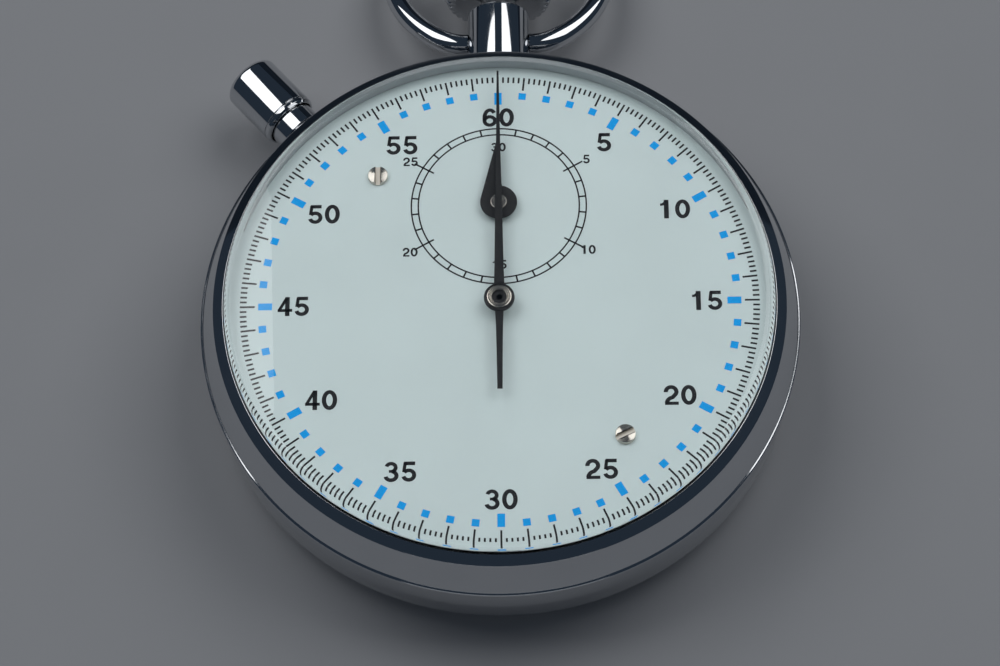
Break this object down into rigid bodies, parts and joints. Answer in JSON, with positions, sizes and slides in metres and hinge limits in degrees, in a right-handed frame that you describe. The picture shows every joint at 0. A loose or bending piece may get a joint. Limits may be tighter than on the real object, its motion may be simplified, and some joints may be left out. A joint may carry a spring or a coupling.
{
  "type": "mechanical stopwatch",
  "caption": "Pocket mechanical stopwatch: round plated case with a crown, bow and side pusher, a seconds dial with a minute register under a domed crystal, and its movement.",
  "frame": {"origin": "centre of the case back's flat resting face", "axes": "+Z out of the dial, +Y from the dial centre to 12 and the crown, +X to 3"},
  "size_m": [0.055, 0.0789, 0.015],
  "materials": {
    "chrome": "mirror-polished chrome plate",
    "acrylic": "clear polished acrylic",
    "polished_steel": "fine-ground steel",
    "rubber": "matt black nitrile",
    "dial_enamel": "satin white dial paint with black and blue print",
    "nickel": "nickel-plated, bright",
    "blued_steel": "heat-blued steel",
    "black_paint": "satin black lacquer",
    "brass": "lapped brass"
  },
  "bodies": {
    "case": {"middle_case": "chrome", "bezel": "chrome", "crystal": "acrylic", "rehaut_ring": "polished_steel", "case_back": "chrome", "back_gasket": "rubber", "pendant_neck": "chrome", "pusher_tube": "chrome", "dial": "dial_enamel", "dial_screw_left": "nickel", "dial_screw_right": "nickel", "mainplate": "nickel", "barrel_bridge": "nickel", "train_bridge": "nickel", "balance_cock": "nickel", "pallet_cock": "nickel", "barrel_bridge_screw": "blued_steel", "train_bridge_screw": "blued_steel", "balance_cock_screw": "blued_steel", "click_spring": "blued_steel", "hammer_spring": "blued_steel", "crown_wheel_screw": "blued_steel", "crown_spring": "polished_steel", "pusher_spring": "polished_steel"},
    "sleeve": {"crown_sleeve": "polished_steel"},
    "crown": {"crown": "chrome", "winding_stem": "polished_steel"},
    "winding_pinion": {"winding_pinion": "polished_steel"},
    "crown_wheel": {"crown_wheel": "polished_steel"},
    "ratchet": {"ratchet_wheel": "polished_steel", "ratchet_screw": "blued_steel", "barrel_arbor": "polished_steel"},
    "click": {"click": "polished_steel"},
    "barrel": {"barrel_drum": "brass", "barrel_cover": "brass", "mainspring": "polished_steel"},
    "second_wheel": {"second_wheel": "brass"},
    "third_wheel": {"third_wheel": "brass"},
    "seconds": {"seconds_wheel": "brass", "seconds_heart": "polished_steel", "seconds_hand": "black_paint", "seconds_hand_collet": "nickel"},
    "escape_wheel": {"escape_wheel": "polished_steel"},
    "pallet": {"pallet_fork": "polished_steel"},
    "balance": {"balance_wheel": "brass", "hairspring": "blued_steel"},
    "intermediate_wheel": {"intermediate_wheel": "brass"},
    "minutes": {"minute_wheel": "brass", "minute_heart": "polished_steel", "minute_hand": "black_paint", "minute_hand_collet": "nickel"},
    "hammer": {"reset_hammer": "polished_steel"},
    "pusher": {"pusher_cap": "chrome", "pusher_stem": "polished_steel"},
    "operating_lever": {"operating_lever": "polished_steel"},
    "column_wheel": {"column_wheel": "polished_steel"},
    "brake": {"brake_lever": "polished_steel"},
    "bow": {"bow": "chrome"}
  },
  "joints": [
    {"name": "crown_push", "type": "slide", "parent": "case", "child": "sleeve", "axis": [0, -1, 0], "range_m": [0, 0.0012], "stiffness_N_per_m": 900, "springref_m": -0.001, "deforming": ["crown_spring"]},
    {"name": "crown_turn", "type": "hinge", "parent": "sleeve", "child": "crown", "pos_m": [0, 0.0342, 0.0056], "axis": [0, 1, 0], "continuous": true},
    {"name": "winding_pinion_turn", "type": "hinge", "parent": "case", "child": "winding_pinion", "pos_m": [0, 0.0173, 0.0056], "axis": [0, 1, 0], "continuous": true},
    {"name": "crown_wheel_turn", "type": "hinge", "parent": "case", "child": "crown_wheel", "pos_m": [0, 0.0124, 0.0027], "axis": [0, 0, 1], "continuous": true},
    {"name": "ratchet_turn", "type": "hinge", "parent": "case", "child": "ratchet", "pos_m": [-0.01238, 0.00631, 0.0027], "axis": [0, 0, 1], "continuous": true},
    {"name": "click_lift", "type": "hinge", "parent": "case", "child": "click", "pos_m": [-0.00908, 0.01649, 0.0027], "axis": [0, 0, 1], "range_deg": [-8, 0], "stiffness_Nm_per_rad": 0.002, "springref_deg": 5.73},
    {"name": "reset_push", "type": "slide", "parent": "case", "child": "pusher", "axis": [0.6561, -0.7547, 0], "range_m": [0, 0.0015], "stiffness_N_per_m": 700, "springref_m": -0.0008, "deforming": ["pusher_spring"]},
    {"name": "hammer_swing", "type": "hinge", "parent": "case", "child": "hammer", "pos_m": [-0.01318, 0.00541, 0.0109], "axis": [0, 0, 1], "range_deg": [-5, 0]},
    {"name": "lever_swing", "type": "hinge", "parent": "case", "child": "operating_lever", "pos_m": [0.0066, 0.0196, 0.0056], "axis": [0, 0, 1], "range_deg": [0, 12.2]},
    {"name": "column_wheel_turn", "type": "hinge", "parent": "case", "child": "column_wheel", "pos_m": [0.0122, 0.0134, 0.0054], "axis": [0, 0, 1], "continuous": true},
    {"name": "brake_swing", "type": "hinge", "parent": "case", "child": "brake", "pos_m": [0.0168, 0.0109, 0.0056], "axis": [0, 0, 1], "range_deg": [-8, 0]},
    {"name": "seconds_turn", "type": "hinge", "parent": "case", "child": "seconds", "pos_m": [0, 0, 0.012], "axis": [0, 0, 1], "continuous": true},
    {"name": "third_wheel_turn", "type": "hinge", "parent": "case", "child": "third_wheel", "pos_m": [-0.00382, -0.00586, 0.0055], "axis": [0, 0, 1], "continuous": true},
    {"name": "second_wheel_turn", "type": "hinge", "parent": "case", "child": "second_wheel", "pos_m": [-0.01, -0.00258, 0.0046], "axis": [0, 0, 1], "continuous": true},
    {"name": "barrel_turn", "type": "hinge", "parent": "case", "child": "barrel", "pos_m": [-0.01238, 0.00631, 0.007], "axis": [0, 0, 1], "continuous": true},
    {"name": "escape_wheel_turn", "type": "hinge", "parent": "case", "child": "escape_wheel", "pos_m": [0.00676, -0.00181, 0.0069], "axis": [0, 0, 1], "continuous": true},
    {"name": "intermediate_wheel_turn", "type": "hinge", "parent": "case", "child": "intermediate_wheel", "pos_m": [0.00197, 0.00464, 0.0102], "axis": [0, 0, 1], "continuous": true},
    {"name": "minutes_turn", "type": "hinge", "parent": "case", "child": "minutes", "pos_m": [0, 0.01005, 0.012], "axis": [0, 0, 1], "continuous": true},
    {"name": "pallet_swing", "type": "hinge", "parent": "case", "child": "pallet", "pos_m": [0.0102, 0.00002, 0.0069], "axis": [0, 0, 1], "range_deg": [-5, 5]},
    {"name": "balance_swing", "type": "hinge", "parent": "case", "child": "balance", "pos_m": [0.01358, 0.00285, 0.0057], "axis": [0, 0, 1], "range_deg": [-270, 270], "stiffness_Nm_per_rad": 0.000002},
    {"name": "bow_swing", "type": "hinge", "parent": "case", "child": "bow", "pos_m": [0, 0.031, 0.0056], "axis": [1, 0, 0], "range_deg": [0, 138]}
  ],
  "couplings": [
    {"joint": "winding_pinion_turn", "follows": "crown_turn", "ratio": 1},
    {"joint": "crown_wheel_turn", "follows": "crown_turn", "ratio": 0.35294},
    {"joint": "ratchet_turn", "follows": "crown_turn", "ratio": -0.32353},
    {"joint": "hammer_swing", "follows": "reset_push", "rad_per_m": -50},
    {"joint": "lever_swing", "follows": "crown_push", "rad_per_m": 175},
    {"joint": "third_wheel_turn", "follows": "seconds_turn", "ratio": -0.16667},
    {"joint": "second_wheel_turn", "follows": "seconds_turn", "ratio": 0.027778},
    {"joint": "barrel_turn", "follows": "seconds_turn", "ratio": -0.0041667},
    {"joint": "escape_wheel_turn", "follows": "seconds_turn", "ratio": -6},
    {"joint": "intermediate_wheel_turn", "follows": "seconds_turn", "ratio": -0.16667},
    {"joint": "minutes_turn", "follows": "seconds_turn", "ratio": 0.033333}
  ]
}
